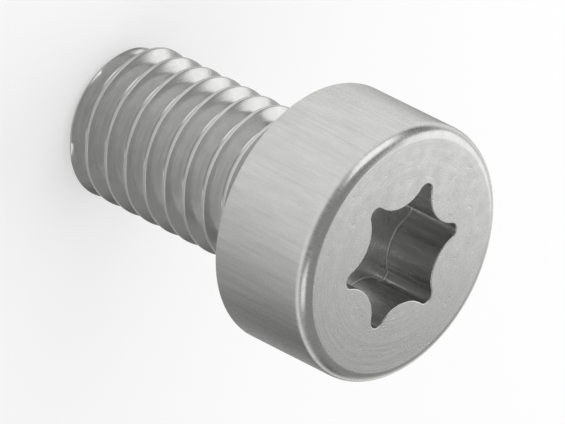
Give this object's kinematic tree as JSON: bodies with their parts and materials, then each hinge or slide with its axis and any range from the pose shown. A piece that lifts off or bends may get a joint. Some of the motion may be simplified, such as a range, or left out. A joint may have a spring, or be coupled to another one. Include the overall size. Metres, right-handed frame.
{
  "type": "cheese head screw",
  "caption": "Cheese head machine screw with a cylindrical head, rounded top edge, hexalobular socket and a metric threaded shank with a chamfered point, standing on its point.",
  "frame": {"origin": "centre of the flat end of the point, on the surface that the screw stands on", "axes": "+Z along the screw's axis, from the point towards the head; +X through the middle of one lobe of the socket"},
  "size_m": [0.01, 0.01, 0.0145],
  "materials": {
    "steel": "plain bright stainless steel, cold headed and thread rolled, satin with fine working marks"
  },
  "bodies": {
    "root": {"screw": "steel"}
  },
  "joints": []
}
